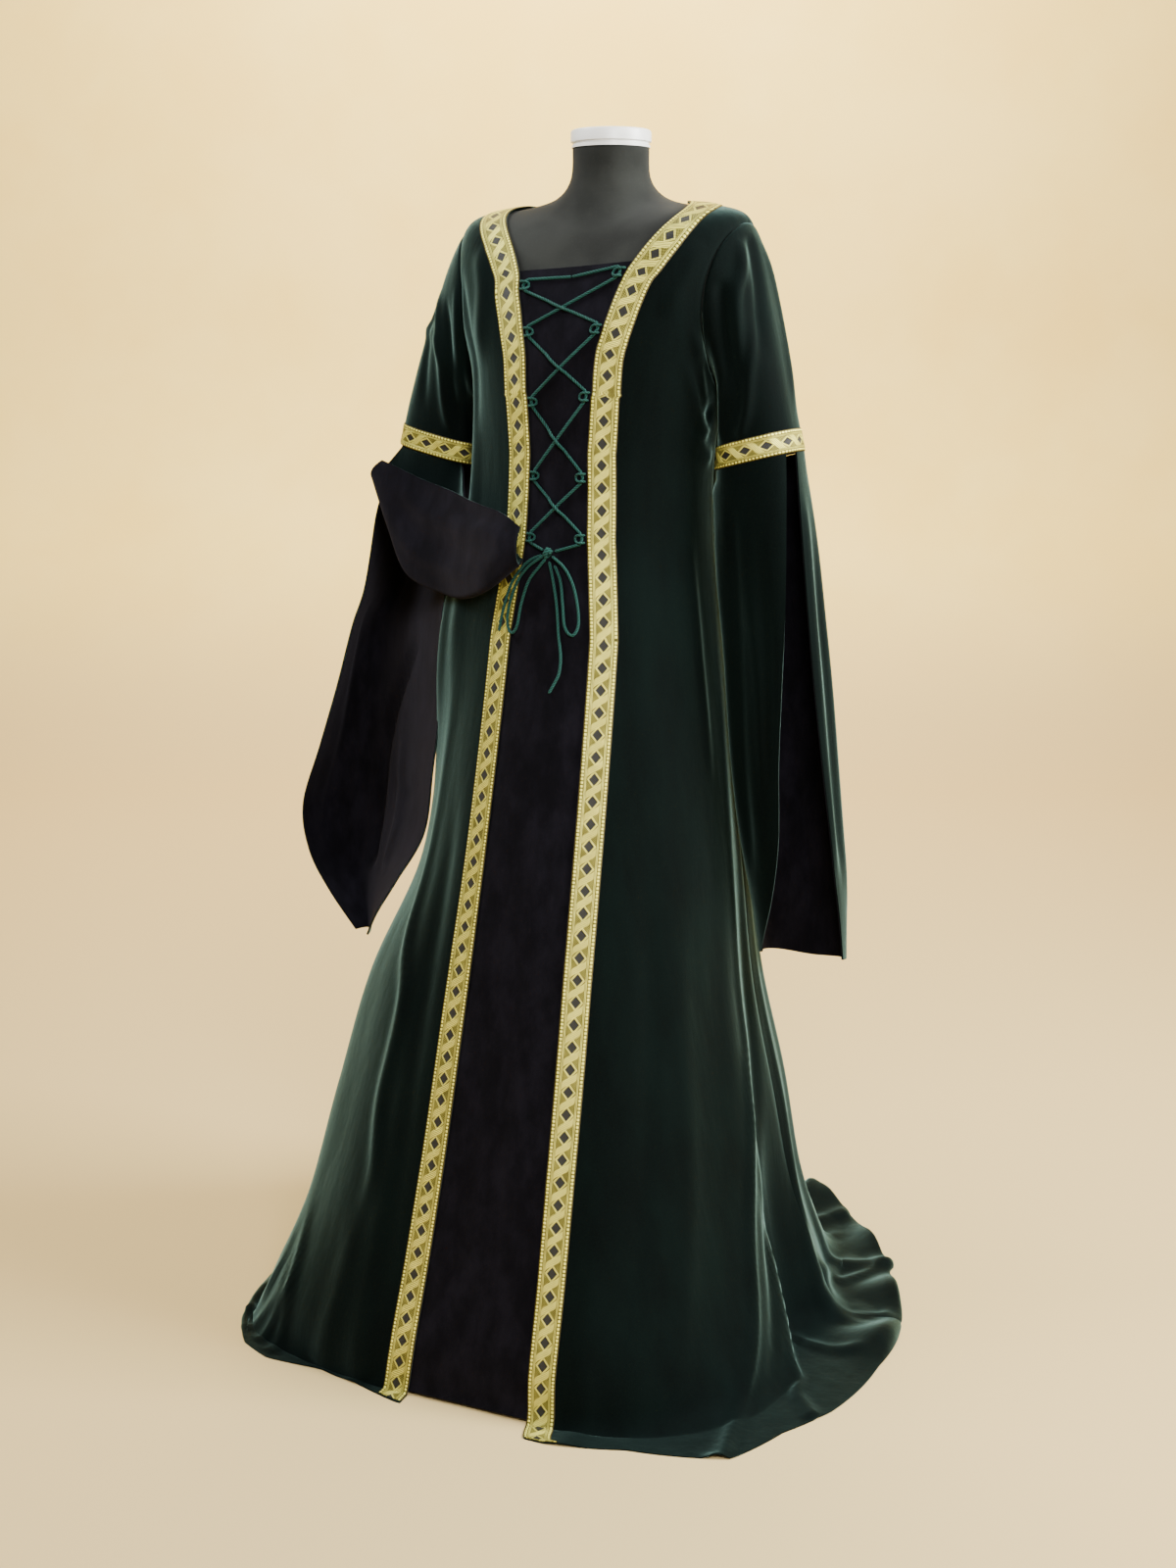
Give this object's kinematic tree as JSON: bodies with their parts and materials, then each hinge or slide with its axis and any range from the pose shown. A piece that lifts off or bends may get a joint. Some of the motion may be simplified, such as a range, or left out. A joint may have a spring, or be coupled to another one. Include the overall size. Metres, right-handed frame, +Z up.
{
  "type": "velvet gown on a dress form",
  "caption": "Floor-length velvet gown with hanging slit sleeves, a laced front and braid trim, on a limbless dress form with a pole and a round base.",
  "frame": {"origin": "on the floor under the pole, at the middle of the stand's base", "axes": "+Z up along the pole; the front of the gown looks along -Y and the wearer's left is +X"},
  "size_m": [0.8677, 0.8989, 1.5193],
  "materials": {
    "velvet": "dark green velvet with a soft pile",
    "black_cloth": "matte black woven cloth",
    "gold_braid": "gold woven braid with dark diamonds",
    "green_cord": "twisted green cord",
    "form_cloth": "smooth charcoal jersey",
    "white_cap": "satin white",
    "stand_metal": "satin steel"
  },
  "bodies": {
    "root": {"back_left": "velvet", "back_right": "velvet", "bow_knot": "green_cord", "bow_left": "green_cord", "bow_right": "green_cord", "braid_back_neck": "gold_braid", "braid_left": "gold_braid", "braid_right": "gold_braid", "centre_panel": "black_cloth", "form_cap": "white_cap", "form_torso": "form_cloth", "front_left": "velvet", "front_right": "velvet", "lace_end_left": "green_cord", "lace_end_right": "green_cord", "lace_left": "green_cord", "lace_loop_left_1": "green_cord", "lace_loop_left_2": "green_cord", "lace_loop_left_3": "green_cord", "lace_loop_left_4": "green_cord", "lace_loop_left_5": "green_cord", "lace_loop_right_1": "green_cord", "lace_loop_right_2": "green_cord", "lace_loop_right_3": "green_cord", "lace_loop_right_4": "green_cord", "lace_loop_right_5": "green_cord", "lace_right": "green_cord", "lower_sleeve_left_back": "velvet", "lower_sleeve_left_front": "velvet", "lower_sleeve_lining_left_back": "black_cloth", "lower_sleeve_lining_left_front": "black_cloth", "lower_sleeve_lining_right_back": "black_cloth", "lower_sleeve_lining_right_front": "black_cloth", "lower_sleeve_right_back": "velvet", "lower_sleeve_right_front": "velvet", "sleeve_band_left": "gold_braid", "sleeve_band_right": "gold_braid", "stand_base": "stand_metal", "stand_pole": "stand_metal", "upper_sleeve_left": "velvet", "upper_sleeve_right": "velvet"}
  },
  "joints": []
}
